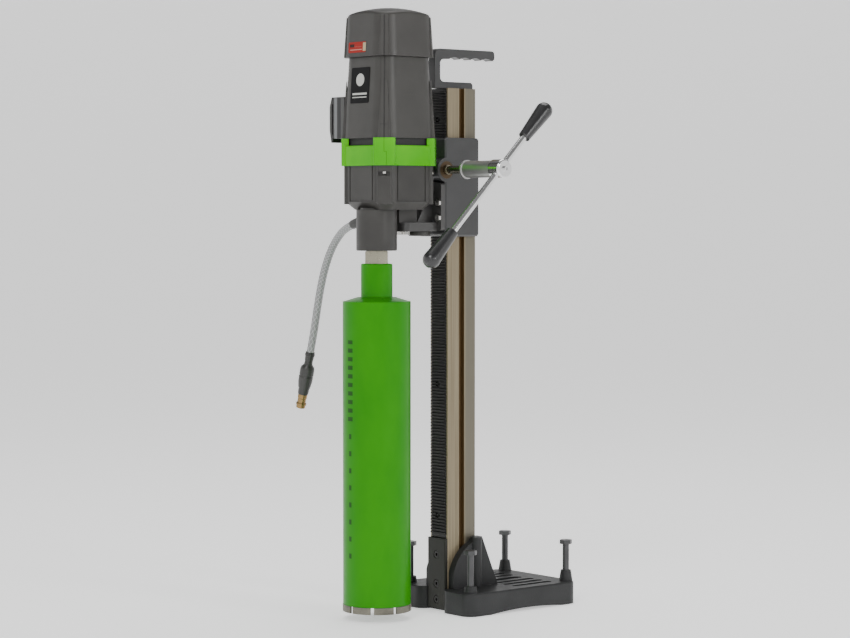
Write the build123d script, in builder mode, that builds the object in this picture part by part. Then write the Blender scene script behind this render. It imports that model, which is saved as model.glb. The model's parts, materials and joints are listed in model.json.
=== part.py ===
"""Core drill rig: a column stand with a rack-fed carriage, a wet core drill motor and a core bit.

Origin: on the ground under the middle of the column. +Z is up, the drill is towards -Y and the
feed crank is on the +X side. All sizes are in millimetres.
"""
from build123d import *
from math import atan2, cos, degrees, pi, radians, sin, tan
import os

os.makedirs("parts", exist_ok=True)

# Driving dimensions: stand
column_width = 40.0
column_depth = 55.0
column_top = 783.0
column_foot = 10.0
base_half_width = 88.0
base_front = -43.5
base_rear = 178.5
base_height = 34.0
screw_spread = 70.0
screw_front = -25.5
screw_rear = 168.5
levelling_radius = 5.0
fit_gap = 0.1

# Driving dimensions: rack and pinion
rack_module = 1.5
pinion_teeth = 14
rack_width = 34.0
pitch_line = -29.5
channel_floor = -20.5
rack_bottom = 109.5
rack_top = column_top - 0.2
pinion_height = 661.0

# Driving dimensions: carriage
carriage_half = 32.5
carriage_front = -42.5
carriage_rear = 24.5
carriage_bottom = 562.0
carriage_top = 709.0
groove_width = 10.0
groove_depth = 6.5

# Driving dimensions: drill motor and bit
reach = 147.5
motor_offset = 23.0
neck_radius = 30.0
neck_bottom = 542.0
housing_bottom = 602.0
housing_top = 666.0
band_top = 695.5
motor_bottom = 706.0
motor_top = 824.0
cap_bottom = 824.4
cap_edge = 883.0
cap_top = 897.0
bit_radius = 50.0
bit_wall = 2.0
bit_bottom = 12.0
bit_length = 456.0
spindle_radius = 10.0
hose_radius = 6.0

# Derived places
drill_y = -reach
motor_y = motor_offset - reach
column_front = -column_depth / 2
column_rear = column_depth / 2
pinion_radius = rack_module * pinion_teeth / 2
pinion_y = pitch_line - pinion_radius
tooth_pitch = pi * rack_module
screw_places = [(x, y) for x in (-screw_spread, screw_spread) for y in (screw_front, screw_rear)]


def disc(place, radius, height, hole=0.0, normal=(0, 0, 1), mode=Mode.ADD):
    """Add a round disc, or a ring with a hole, that starts at a place and grows along a normal."""
    with BuildSketch(Plane(origin=place, z_dir=normal)) as face:
        Circle(radius)
        if hole:
            Circle(hole, mode=Mode.SUBTRACT)
    extrude(face.sketch, amount=height, mode=mode)


def block(low, high, mode=Mode.ADD):
    """Add a box between two opposite corners."""
    size = [b - a for a, b in zip(low, high)]
    with Locations(tuple((a + b) / 2 for a, b in zip(low, high))):
        Box(*size, mode=mode)


def socket_screw(place, normal, thread, length, head):
    """Add a socket-head screw: place is under its head and normal points out of the head."""
    shank = Vector(*place) - Vector(*normal) * length
    top = Vector(*place) + Vector(*normal) * head
    disc(place, thread * 1.65 / 2 + thread * 0.3 / 2, head, normal=normal)
    disc(tuple(shank), thread / 2, length, normal=normal)
    with BuildSketch(Plane(origin=top, z_dir=normal)) as socket:
        RegularPolygon(thread * 0.45, 6)
    extrude(socket.sketch, amount=-head * 0.55, mode=Mode.SUBTRACT)


# --- Base ------------------------------------------------------------------------------------
boss_radius = 10.5
front_boss_top = 43.0
rear_boss_top = 50.0
arch_rise = 4.0
front_corner = 18.0
rear_corner = 19.0
inner_corner = 18.0
cheek_inner = column_width / 2 + fit_gap
cheek_outer = 32.0
cheek_front = -25.5
cheek_top = 109.5
cheek_tail = 62.5
slot_half = 7.5
slot_start = 62.0
slot_end = 138.0
pocket_height = 22.0
base_middle = (base_front + base_rear) / 2
base_length = base_rear - base_front
rim = 13.0

with BuildPart() as base_casting:
    with BuildSketch():
        with Locations((0, base_middle)):
            Rectangle(2 * base_half_width, base_length)
        fillet(vertices().group_by(Axis.Y)[0], radius=front_corner)
        fillet(vertices().group_by(Axis.Y)[-1], radius=rear_corner)
    extrude(amount=base_height)
    fillet(edges().group_by(Axis.Z)[-1], radius=3)
    # Long arched skirt between the four corner feet, and the pockets under the top wall
    with BuildSketch(Plane.YZ):
        with BuildLine():
            Line((base_front + 44, 0), (base_rear - 34, 0))
            ThreePointArc((base_rear - 34, 0), (base_middle, arch_rise), (base_front + 44, 0))
        make_face()
    extrude(amount=base_half_width + 1, both=True, mode=Mode.SUBTRACT)
    for side in (-1, 1):
        block((side * 52 - 23, cheek_front + 36, -1), (side * 52 + 23, 70, pocket_height), mode=Mode.SUBTRACT)
        block((side * 52 - 23, 78, -1), (side * 52 + 23, screw_rear - 18, pocket_height), mode=Mode.SUBTRACT)
    block((-slot_half - 14, slot_end + 8, -1), (slot_half + 14, base_rear - rim, pocket_height), mode=Mode.SUBTRACT)
    # Shallow channels in the top between the long ribs
    for side in (-1, 1):
        for rib in (24, 44, 64):
            with BuildSketch(Plane.XY.offset(base_height)):
                with Locations((side * rib, (cheek_tail + screw_rear) / 2 - 12)):
                    SlotOverall(78, 11, rotation=90)
            extrude(amount=-1.6, mode=Mode.SUBTRACT)
    # Bosses of the levelling screws
    for x, y in screw_places:
        boss_top = front_boss_top if y == screw_front else rear_boss_top
        with BuildSketch(Plane.XY.offset(base_height - 1)):
            with Locations((x, y)):
                Circle(boss_radius)
        extrude(amount=boss_top - base_height + 1, taper=9)
    # Cheeks on both sides of the column, each with a pillar and a sloping rear web
    for side in (-1, 1):
        with BuildSketch(Plane.YZ.offset(side * cheek_inner)):
            with BuildLine():
                Polyline((12.5, 102), (20, cheek_top), (column_rear + 3, cheek_top), (cheek_tail, base_height),
                         (cheek_tail, 2), (cheek_front, 2), (cheek_front, 58))
                ThreePointArc((cheek_front, 58), (-13, 83), (12.5, 102))
            make_face()
        extrude(amount=side * (cheek_outer - cheek_inner))
        disc((side * 31, 20, base_height - 2), 8.5, cheek_top - base_height + 2)
        block((side * 28 - 4, cheek_front, 2), (side * 28 + 4, 30, base_height))
    # Socket for the column, with a web behind it and a solid pad under it
    block((-cheek_inner - 1, column_rear + fit_gap, 4), (cheek_inner + 1, column_rear + 9, 96))
    block((-cheek_outer, cheek_front + 3, 0), (cheek_outer, 50, base_height - 2))
    block((-cheek_inner, cheek_front - 20, column_foot), (cheek_inner, column_rear + fit_gap, 200),
          mode=Mode.SUBTRACT)
    block((-cheek_inner, base_front - 1, -1), (cheek_inner, column_front, 200), mode=Mode.SUBTRACT)
    with BuildSketch(Plane.XY.offset(-1)):
        for side in (-1, 1):
            with Locations((side * (cheek_inner + inner_corner / 2), base_front + inner_corner / 2)):
                Rectangle(inner_corner, inner_corner)
            with Locations((side * (cheek_inner + inner_corner), base_front + inner_corner)):
                Circle(inner_corner, mode=Mode.SUBTRACT)
    extrude(amount=base_height + 4, mode=Mode.SUBTRACT)
    # Levelling screw holes, anchor slot and the column screw holes
    for x, y in screw_places:
        disc((x, y, -1), levelling_radius + 0.05, 60, mode=Mode.SUBTRACT)
    with BuildSketch(Plane.XY.offset(-1)):
        with Locations((0, (slot_start + slot_end) / 2)):
            SlotOverall(slot_end - slot_start, 2 * slot_half, rotation=90)
    extrude(amount=60, mode=Mode.SUBTRACT)
    port_places = [(-14.5, -13), (14.5, -13), (-14.5, 16), (14.5, 16)]
    for x, y in port_places:
        disc((x, y, -1), 4.2, column_foot + 2, mode=Mode.SUBTRACT)
        disc((x, y, -1), 8.2, 6.5, mode=Mode.SUBTRACT)
base_casting.part.label = "base_casting"
export_step(base_casting.part, "parts/base_casting.step")

# --- Levelling screws ---------------------------------------------------------------------------
levelling_head = 96.5
levelling_names = ["front_left", "rear_left", "front_right", "rear_right"]
for name, (x, y) in zip(levelling_names, screw_places):
    with BuildPart() as levelling_screw:
        disc((x, y, 1.5), levelling_radius, levelling_head - 7)
        with BuildSketch(Plane.XY.offset(levelling_head - 6.5)):
            with Locations((x, y)):
                RegularPolygon(9.8, 6)
        extrude(amount=6.5)
        chamfer(edges().filter_by(GeomType.CIRCLE).sort_by(Axis.Z)[0], length=1)
    levelling_screw.part.label = "levelling_screw_" + name
    export_step(levelling_screw.part, "parts/levelling_screw_" + name + ".step")

# --- Rack tooth form and the places of the screws on the column's front --------------------------
rack_addendum = 0.75 * rack_module
rack_dedendum = 1.25 * rack_module
tip_y = pitch_line - rack_addendum
root_y = pitch_line + rack_dedendum
flank = tan(radians(20))
half_tooth = tooth_pitch / 4 - 0.1
tip_half = half_tooth - rack_addendum * flank
root_half = half_tooth + rack_dedendum * flank
teeth_below = int((pinion_height - rack_bottom - 7) / tooth_pitch)
first_tooth = pinion_height - tooth_pitch * (teeth_below + 0.5)
tooth_count = int((rack_top - 3 - first_tooth) / tooth_pitch) + 1
rack_points = [(channel_floor, rack_bottom), (root_y, rack_bottom)]
for tooth in range(tooth_count):
    middle = first_tooth + tooth * tooth_pitch
    rack_points += [(root_y, middle - root_half), (tip_y, middle - tip_half)]
    rack_points += [(tip_y, middle + tip_half), (root_y, middle + root_half)]
rack_points += [(root_y, rack_top), (channel_floor, rack_top)]
rack_screw_heights = [first_tooth + tooth_pitch * (n + 0.5) for n in (5, 47, 89, 131)]
strip_screw_heights = (84, 40, 16)

# --- Column ------------------------------------------------------------------------------------
port_radius = 3.4
handle_ports = [(0, -9.5), (0, 9.5)]
handle_seat = column_top + 5
handle_screw = 5.6
with BuildPart() as column_profile:
    with BuildSketch(Plane.XY.offset(column_foot)):
        RectangleRounded(column_width, column_depth, 1.5)
        with Locations((0, column_front)):
            Rectangle(rack_width, 2 * (channel_floor - column_front), mode=Mode.SUBTRACT)
        for side in (-1, 1):
            with Locations((side * column_width / 2, 0)):
                Rectangle(2 * groove_depth, groove_width, mode=Mode.SUBTRACT)
        with Locations((0, column_rear)):
            Rectangle(10, 2 * groove_depth, mode=Mode.SUBTRACT)
        Rectangle(20, 34, mode=Mode.SUBTRACT)
        with Locations(*handle_ports):
            Circle(6.5)
            Rectangle(20.2, 3)
        with Locations(*port_places, *handle_ports):
            Circle(port_radius, mode=Mode.SUBTRACT)
    extrude(amount=column_top - column_foot)
    for height in strip_screw_heights:
        disc((0, channel_floor - 1, height), 2.85, 5, normal=(0, 1, 0), mode=Mode.SUBTRACT)
    for height in rack_screw_heights:
        disc((0, channel_floor - 1, height), 2.55, 5, normal=(0, 1, 0), mode=Mode.SUBTRACT)
column_profile.part.label = "column_profile"
export_step(column_profile.part, "parts/column_profile.step")

with BuildPart() as column_screws:
    for x, y in port_places:
        socket_screw((x, y, 5.5), (0, 0, -1), 6.8, 24, 5)
    for x, y in handle_ports:
        socket_screw((x, y, handle_seat), (0, 0, 1), handle_screw, 21, 4.5)
column_screws.part.label = "column_screws"
export_step(column_screws.part, "parts/column_screws.step")

# --- Rack, its screws and the foot strip ----------------------------------------------------------
with BuildPart() as rack:
    with BuildSketch(Plane.YZ):
        with BuildLine():
            Polyline(*rack_points, close=True)
        make_face()
    extrude(amount=rack_width / 2 - fit_gap, both=True)
    for height in rack_screw_heights:
        disc((0, channel_floor + 1, height), 2.7, 20, normal=(0, -1, 0), mode=Mode.SUBTRACT)
        disc((0, root_y + 3.4, height), 5.1, 20, normal=(0, -1, 0), mode=Mode.SUBTRACT)
rack.part.label = "rack"
export_step(rack.part, "parts/rack.step")

with BuildPart() as rack_screws:
    for height in rack_screw_heights:
        socket_screw((0, root_y + 3.4, height), (0, -1, 0), 5, 6.4, 3)
rack_screws.part.label = "rack_screws"
export_step(rack_screws.part, "parts/rack_screws.step")

strip_front = column_front - 5.5
with BuildPart() as foot_strip:
    block((-column_width / 2, strip_front, 3), (column_width / 2, column_front, rack_bottom - 0.5))
    chamfer(edges().filter_by(Axis.Z).group_by(Axis.Y)[0], length=1)
    block((-rack_width / 2 + fit_gap, column_front, column_foot), (rack_width / 2 - fit_gap, channel_floor,
                                                                  rack_bottom - 0.5))
    for height in strip_screw_heights:
        disc((0, channel_floor + 1, height), 3.3, 20, normal=(0, -1, 0), mode=Mode.SUBTRACT)
        disc((0, strip_front + 5, height), 6, 20, normal=(0, -1, 0), mode=Mode.SUBTRACT)
foot_strip.part.label = "foot_strip"
export_step(foot_strip.part, "parts/foot_strip.step")

with BuildPart() as foot_screws:
    for height in strip_screw_heights:
        socket_screw((0, strip_front + 5, height), (0, -1, 0), 5.6, 10.9, 4.5)
foot_screws.part.label = "foot_screws"
export_step(foot_screws.part, "parts/foot_screws.step")

# --- Carry handle --------------------------------------------------------------------------------
handle_half = 7.5
handle_front = -42.0
handle_end = 76.5
leg_end = 32.5
leg_top = column_top + 10
grip_low = column_top + 44
grip_high = column_top + 59
wave_pitch = 21.0
with BuildPart() as carry_handle:
    with BuildSketch(Plane.YZ):
        with BuildLine():
            Polyline((handle_front + 10.5, grip_low), (handle_front + 10.5, leg_top), (leg_end, leg_top),
                     (leg_end, column_top), (handle_front, column_top), (handle_front, grip_high),
                     (handle_end, grip_high), (handle_end, grip_low), (handle_end - 6, grip_low))
            for wave in range(4):
                start = handle_end - 6 - wave * wave_pitch
                middle_point = (start - wave_pitch / 2, grip_low + 3)
                ThreePointArc((start, grip_low), middle_point, (start - wave_pitch, grip_low))
            Line((handle_end - 6 - 4 * wave_pitch, grip_low), (handle_front + 10.5, grip_low))
        make_face()
    extrude(amount=handle_half, both=True)
    outer_bend = edges().filter_by(Axis.X).filter_by_position(Axis.Y, handle_front - 1, handle_front + 1)
    fillet(outer_bend.group_by(Axis.Z)[-1], radius=11)
    fillet(edges().filter_by(Axis.X).filter_by_position(Axis.Y, handle_end - 1, handle_end + 1), radius=5.5)
    fillet(edges().filter_by(Axis.X).filter_by_position(Axis.Y, leg_end - 1, leg_end + 1).group_by(Axis.Z)[-1],
           radius=5)
    inner_bends = edges().filter_by(Axis.X).filter_by_position(Axis.Y, handle_front + 10, handle_front + 11)
    fillet(inner_bends, radius=7)
    for x, y in handle_ports:
        disc((x, y, column_top - 1), 3.6, 12, mode=Mode.SUBTRACT)
        disc((x, y, handle_seat), handle_screw, 8, mode=Mode.SUBTRACT)
carry_handle.part.label = "carry_handle"
export_step(carry_handle.part, "parts/carry_handle.step")

# --- Carriage ------------------------------------------------------------------------------------
side_gap = 0.6
lock_y = -16.0
lock_height = 634.0
wall_inner = column_width / 2 + side_gap
front_wall_back = -33.0
bush_radius = 13.0
boss_outer = 18.0
shaft_radius = 6.0
journal_radius = 7.0
bush_start = wall_inner + 0.4
pad_heights = (590.0, 683.0)
pad_half_height = 16.0
pad_depth = 5.0
tongue_gap = 0.15
bracket_top = 642.0
bracket_bottom = 571.0
bracket_thick = 7.5
shelf_top = 583.0
shelf_bottom = 570.0
shelf_front = -112.0
flange_bolt_places = [(x, z) for x in (-26, 26) for z in (612, 590)]
with BuildPart() as carriage_casting:
    with BuildSketch(Plane.YZ):
        with Locations(((carriage_front + carriage_rear) / 2, (carriage_bottom + carriage_top) / 2)):
            RectangleRounded(carriage_rear - carriage_front, carriage_top - carriage_bottom, 5)
    extrude(amount=carriage_half, both=True)
    chamfer(edges().filter_by(Axis.Z).group_by(Axis.Y)[0], length=2.5)
    disc((-carriage_half, pinion_y, pinion_height), boss_outer, 2 * carriage_half, normal=(1, 0, 0))
    block((-wall_inner, front_wall_back, carriage_bottom - 1), (wall_inner, carriage_rear + 1, carriage_top + 1),
          mode=Mode.SUBTRACT)
    disc((-carriage_half - 1, pinion_y, pinion_height), bush_radius + 0.02, 2 * carriage_half + 2,
         normal=(1, 0, 0), mode=Mode.SUBTRACT)
    for side in (-1, 1):
        for height in pad_heights:
            block((side * wall_inner - pad_depth, -8, height - pad_half_height),
                  (side * wall_inner + pad_depth, 8, height + pad_half_height), mode=Mode.SUBTRACT)
    for height in pad_heights:
        disc((-carriage_half - 1, 0, height), 4.05, 10, normal=(1, 0, 0), mode=Mode.SUBTRACT)
    for x, z in flange_bolt_places:
        disc((x, carriage_front - 1, z), 3.05, 14, normal=(0, 1, 0), mode=Mode.SUBTRACT)
    disc((-carriage_half - 1, lock_y, lock_height), 4.1, 20, normal=(1, 0, 0), mode=Mode.SUBTRACT)
carriage_casting.part.label = "carriage_casting"
export_step(carriage_casting.part, "parts/carriage_casting.step")

with BuildPart() as glide_pads:
    for side in (-1, 1):
        for height in pad_heights:
            near = side * (column_width / 2 + 0.1)
            far = side * (wall_inner + pad_depth - 0.05)
            inside = side * (column_width / 2 - groove_depth + 0.5)
            block((min(near, far), -7.9, height - pad_half_height + 0.1),
                  (max(near, far), 7.9, height + pad_half_height - 0.1))
            block((min(near, inside), -groove_width / 2 + tongue_gap, height - pad_half_height + 0.1),
                  (max(near, inside), groove_width / 2 - tongue_gap, height + pad_half_height - 0.1))
glide_pads.part.label = "glide_pads"
export_step(glide_pads.part, "parts/glide_pads.step")

with BuildPart() as glide_screws:
    for height in pad_heights:
        start = -wall_inner - pad_depth
        disc((start, 0, height), 4, carriage_half - wall_inner - pad_depth + 3, normal=(-1, 0, 0))
        with BuildSketch(Plane(origin=(-carriage_half - 3, 0, height), z_dir=(-1, 0, 0))) as socket:
            RegularPolygon(2.3, 6)
        extrude(socket.sketch, amount=-4, mode=Mode.SUBTRACT)
        disc((-carriage_half, 0, height), 7, 2, hole=4.05, normal=(-1, 0, 0))
glide_screws.part.label = "glide_screws"
export_step(glide_screws.part, "parts/glide_screws.step")

with BuildPart() as pinion_bushes:
    for side in (-1, 1):
        disc((side * bush_start, pinion_y, pinion_height), bush_radius, carriage_half - bush_start,
             hole=journal_radius + 0.04, normal=(side, 0, 0))
pinion_bushes.part.label = "pinion_bushes"
export_step(pinion_bushes.part, "parts/pinion_bushes.step")

# --- Feed lock: a knurled screw whose tip holds the column's side ----------------------------------
with BuildPart() as lock_knob:
    disc((-column_width / 2 - 0.3, lock_y, lock_height), 4.04, 24, normal=(-1, 0, 0))
    disc((-carriage_half - 5, lock_y, lock_height), 10, 6, normal=(-1, 0, 0))
    disc((-carriage_half - 10, lock_y, lock_height), 15, 14, normal=(-1, 0, 0))
    with BuildSketch(Plane(origin=(-carriage_half - 9, lock_y, lock_height), z_dir=(-1, 0, 0))) as knurl:
        with PolarLocations(16.2, 12):
            Circle(2.2)
    extrude(knurl.sketch, amount=16, mode=Mode.SUBTRACT)
lock_knob.part.label = "lock_knob"
export_step(lock_knob.part, "parts/lock_knob.step")

# --- Motor bracket -------------------------------------------------------------------------------
flange_front = carriage_front - bracket_thick
boss_half = 14.0
boss_front = drill_y + neck_radius + 1.0
boss_rear = -82.5
mount_bolt_y = (-107.0, -91.0)
disc_y = -66.0
with BuildPart() as motor_bracket:
    block((-31, flange_front, bracket_bottom), (31, carriage_front, bracket_top))
    fillet(edges().filter_by(Axis.Y), radius=4)
    with BuildSketch(Plane.XY.offset(shelf_bottom)):
        with Locations((0, (shelf_front + flange_front) / 2)):
            Rectangle(44, flange_front - shelf_front)
        fillet(vertices().group_by(Axis.Y)[0], radius=14)
    extrude(amount=shelf_top - shelf_bottom)
    with BuildSketch(Plane.YZ):
        with BuildLine():
            Polyline((flange_front, shelf_top), (boss_rear + 3, shelf_top), (flange_front, 636), close=True)
        make_face()
    extrude(amount=11, both=True)
    for x, z in flange_bolt_places:
        disc((x, flange_front - 1, z), 3.3, 10, normal=(0, 1, 0), mode=Mode.SUBTRACT)
    for y in mount_bolt_y:
        disc((0, y, shelf_bottom - 1), 4.3, 20, mode=Mode.SUBTRACT)
    disc((0, disc_y, shelf_bottom - 1), 5.05, 8, mode=Mode.SUBTRACT)
motor_bracket.part.label = "motor_bracket"
export_step(motor_bracket.part, "parts/motor_bracket.step")

with BuildPart() as bracket_bolts:
    for x, z in flange_bolt_places:
        disc((x, flange_front, z), 3, 18, normal=(0, 1, 0))
        with BuildSketch(Plane(origin=(x, flange_front, z), z_dir=(0, -1, 0))) as hexagon:
            RegularPolygon(5.7, 6)
        extrude(hexagon.sketch, amount=4)
    for y in mount_bolt_y:
        disc((0, y, shelf_bottom), 4, 26)
        with BuildSketch(Plane(origin=(0, y, shelf_bottom), z_dir=(0, 0, -1))) as hexagon:
            RegularPolygon(7.2, 6)
        extrude(hexagon.sketch, amount=5)
bracket_bolts.part.label = "bracket_bolts"
export_step(bracket_bolts.part, "parts/bracket_bolts.step")

with BuildPart() as clamp_disc:
    disc((0, disc_y, shelf_bottom - 7), 16.5, 7)
    fillet(edges().filter_by(GeomType.CIRCLE).group_by(Axis.Z)[0], radius=1.5)
    disc((0, disc_y, shelf_bottom), 5, 7)
    with BuildSketch(Plane(origin=(0, disc_y, shelf_bottom - 7), z_dir=(0, 0, -1))) as socket:
        RegularPolygon(4.5, 6)
    extrude(socket.sketch, amount=-4, mode=Mode.SUBTRACT)
clamp_disc.part.label = "clamp_disc"
export_step(clamp_disc.part, "parts/clamp_disc.step")

# --- Crank: pinion shaft, sleeve, hub, sliding bar and grips ---------------------------------------
sleeve_start = 76.0
sleeve_end = 140.0
hub_end = 162.0
hub_radius = 14.25
hub_x = (sleeve_end + hub_end) / 2
bar_radius = 5.0
bar_up = 134.0
bar_down = 196.0
grip_length = 68.0
grip_ball = 12.7
bar_axis = Vector(0, 1, 1).normalized()
hub_place = Vector(hub_x, pinion_y, pinion_height)


def gear_teeth(place, normal, module, teeth, height, thickness, start=0.0, bore=0.0):
    """Add a spur gear: a root disc and one trapezium for each tooth."""
    pitch_radius = module * teeth / 2
    root_radius = pitch_radius - 1.25 * module
    tip_radius = pitch_radius + module * 0.95
    half_pitch = thickness * pi * module / 2
    half_tip = half_pitch - module * 0.95 * flank * 1.15
    half_root = half_pitch + module * 1.25 * flank * 0.75
    with BuildSketch(Plane(origin=place, z_dir=normal, x_dir=(0, 1, 0))) as face:
        Circle(root_radius)
        with PolarLocations(0, teeth, start_angle=start):
            Polygon((root_radius - 0.4, -half_root), (pitch_radius, -half_pitch), (tip_radius, -half_tip),
                    (tip_radius, half_tip), (pitch_radius, half_pitch), (root_radius - 0.4, half_root),
                    align=None)
        if bore:
            Circle(bore, mode=Mode.SUBTRACT)
    extrude(face.sketch, amount=height)


with BuildPart() as pinion_shaft:
    gear_teeth((-15, pinion_y, pinion_height), (1, 0, 0), rack_module, pinion_teeth, 30, 0.44)
    disc((-carriage_half - 5, pinion_y, pinion_height), journal_radius, 2 * carriage_half + 10, normal=(1, 0, 0))
    disc((carriage_half, pinion_y, pinion_height), shaft_radius, sleeve_end - carriage_half, normal=(1, 0, 0))
pinion_shaft.part.label = "pinion_shaft"
export_step(pinion_shaft.part, "parts/pinion_shaft.step")

with BuildPart() as shaft_sleeve:
    disc((sleeve_start, pinion_y, pinion_height), 14, 3.5, hole=shaft_radius + 0.02, normal=(1, 0, 0))
    disc((sleeve_start, pinion_y, pinion_height), 12.5, sleeve_end - sleeve_start, hole=shaft_radius + 0.02,
         normal=(1, 0, 0))
shaft_sleeve.part.label = "shaft_sleeve"
export_step(shaft_sleeve.part, "parts/shaft_sleeve.step")

with BuildPart() as crank_hub:
    disc((sleeve_end, pinion_y, pinion_height), hub_radius, hub_end - sleeve_end, normal=(1, 0, 0))
    fillet(edges().filter_by(GeomType.CIRCLE).group_by(Axis.X)[-1], radius=3)
    disc(tuple(hub_place - bar_axis * 20), bar_radius + 0.05, 40, normal=tuple(bar_axis), mode=Mode.SUBTRACT)
    disc((hub_end - 1.5, pinion_y, pinion_height), 4, 5, normal=(1, 0, 0))
    with BuildSketch(Plane(origin=(hub_end + 3.5, pinion_y, pinion_height), z_dir=(1, 0, 0))) as socket:
        RegularPolygon(2.3, 6)
    extrude(socket.sketch, amount=-3, mode=Mode.SUBTRACT)
crank_hub.part.label = "crank_hub"
export_step(crank_hub.part, "parts/crank_hub.step")

with BuildPart() as crank_bar:
    disc(tuple(hub_place - bar_axis * (bar_down - 12)), bar_radius, bar_up + bar_down - 24, normal=tuple(bar_axis))
crank_bar.part.label = "crank_bar"
export_step(crank_bar.part, "parts/crank_bar.step")

with BuildPart() as bar_grips:
    for tip, out in ((bar_up, bar_axis), (-bar_down, -bar_axis)):
        end = hub_place + bar_axis * tip
        with BuildSketch(Plane(origin=tuple(end), z_dir=(1, 0, 0), x_dir=tuple(-out))) as profile:
            with BuildLine():
                Line((0, 0), (grip_length, 0))
                Line((grip_length, 0), (grip_length, 8.75))
                Line((grip_length, 8.75), (grip_ball, grip_ball))
                ThreePointArc((grip_ball, grip_ball), (grip_ball * (1 - cos(pi / 4)), grip_ball * sin(pi / 4)), (0, 0))
            make_face()
        revolve(profile.sketch, axis=Axis(tuple(end), tuple(out)))
        disc(tuple(end - out * grip_length), bar_radius + 0.02, grip_length - 12, normal=tuple(out),
             mode=Mode.SUBTRACT)
bar_grips.part.label = "bar_grips"
export_step(bar_grips.part, "parts/bar_grips.step")

# --- Gear case -----------------------------------------------------------------------------------
case_half = 52.0
case_corner = 25.0
case_wall = 4.0
case_floor = 7.0
spigot_radius = 24.0
stage_one_module = 1.0
stage_one_teeth = (10, 38)
stage_two_module = 1.25
stage_two_teeth = (12, 36)
first_centres = stage_one_module * sum(stage_one_teeth) / 2
second_centres = stage_two_module * sum(stage_two_teeth) / 2
counter_y = (motor_y + drill_y) / 2 + (second_centres ** 2 - first_centres ** 2) / (2 * motor_offset)
counter_x = (first_centres ** 2 - (counter_y - motor_y) ** 2) ** 0.5
rib_half = 11.0
ring_half = 56.0
ring_corner = 29.0
plate_low = 661.0
plate_high = 672.0
small_bearing = 11.0
armature_bearing = 13.0
spindle_top_bearing = 16.0


def bearing_angle(start, end):
    """The direction from one axis to another, as gear_teeth measures its start angle."""
    return degrees(atan2(end[1] - start[1], end[0] - start[0])) - 90


def case_sketch(height, half, corner):
    """A rounded square about the motor axis."""
    with BuildSketch(Plane((0, motor_y, height))) as outline:
        RectangleRounded(2 * half, 2 * half, corner)
    return outline.sketch


def rib_sketch(height, reach, depth, width):
    """Four rectangles across the diagonals of the motor, for its corner ribs."""
    with BuildSketch(Plane((0, motor_y, height))) as outline:
        for angle in (45, 135, 225, 315):
            with PolarLocations(reach, 1, start_angle=angle):
                Rectangle(depth, width)
    return outline.sketch


def corner_places(distance):
    """Places on the four diagonals of the motor, at a distance from its axis."""
    step = distance * sin(pi / 4)
    return [(sx * step, motor_y + sy * step) for sx in (-1, 1) for sy in (-1, 1)]


corner_reach = (case_half - case_corner) * 2 ** 0.5 + case_corner
screw_reach = corner_reach - 0.5
screw_seat = housing_top - 9
with BuildPart() as gear_housing:
    extrude(case_sketch(housing_bottom, case_half, case_corner), amount=housing_top - housing_bottom)
    chamfer(edges().group_by(Axis.Z)[0], length=11, length2=13)
    extrude(rib_sketch(housing_bottom + 8, corner_reach - 4.5, 13, 2 * rib_half),
            amount=housing_top - housing_bottom - 8)
    fillet(edges().filter_by(Axis.Z).sort_by_distance((0, motor_y, 640))[-8:], radius=3)
    for step, wall in ((0, case_wall + 8), (9, case_wall)):
        extrude(case_sketch(housing_bottom + case_floor + step, case_half - wall, case_corner - case_wall),
                amount=housing_top - housing_bottom, mode=Mode.SUBTRACT)
    # Slot and screw seat in each corner rib
    for x, y in corner_places(screw_reach):
        disc((x, y, screw_seat - 1), 1.7, 60, mode=Mode.SUBTRACT)
        disc((x, y, screw_seat - 6), 3.3, 6, mode=Mode.SUBTRACT)
    extrude(rib_sketch(screw_seat - 6, corner_reach + 1, 6, 17), amount=6, mode=Mode.SUBTRACT)
    for sign in (-1, 1):
        for angle in (0, 90):
            normal = (sign * cos(radians(angle)), sign * sin(radians(angle)), 0)
            place = Vector(0, motor_y, 0) + Vector(*normal) * (case_half - 1.2)
            with BuildSketch(Plane(origin=(place.X, place.Y, 642), z_dir=normal, x_dir=(0, 0, 1))) as panel:
                Rectangle(56, 54)
                Rectangle(52, 50, mode=Mode.SUBTRACT)
            extrude(panel.sketch, amount=3, mode=Mode.SUBTRACT)
    # Countershaft bearing seat, neck spigot and the foot that stands on the bracket
    disc((counter_x, counter_y, housing_bottom + case_floor), small_bearing + 3, 7)
    disc((counter_x, counter_y, housing_bottom + case_floor), small_bearing + 0.02, 8, mode=Mode.SUBTRACT)
    block((-boss_half, boss_front, shelf_top), (boss_half, boss_rear, housing_bottom + 2))
    disc((0, drill_y, housing_bottom - 25), neck_radius + 0.3, 25, mode=Mode.SUBTRACT)
    disc((0, drill_y, housing_bottom - 1), spigot_radius + 0.02, 4, mode=Mode.SUBTRACT)
    disc((0, drill_y, housing_bottom - 1), 13, 20, mode=Mode.SUBTRACT)
    for y in mount_bolt_y:
        disc((0, y, shelf_top - 1), 4.05, 15, mode=Mode.SUBTRACT)
gear_housing.part.label = "gear_housing"
export_step(gear_housing.part, "parts/gear_housing.step")

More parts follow.
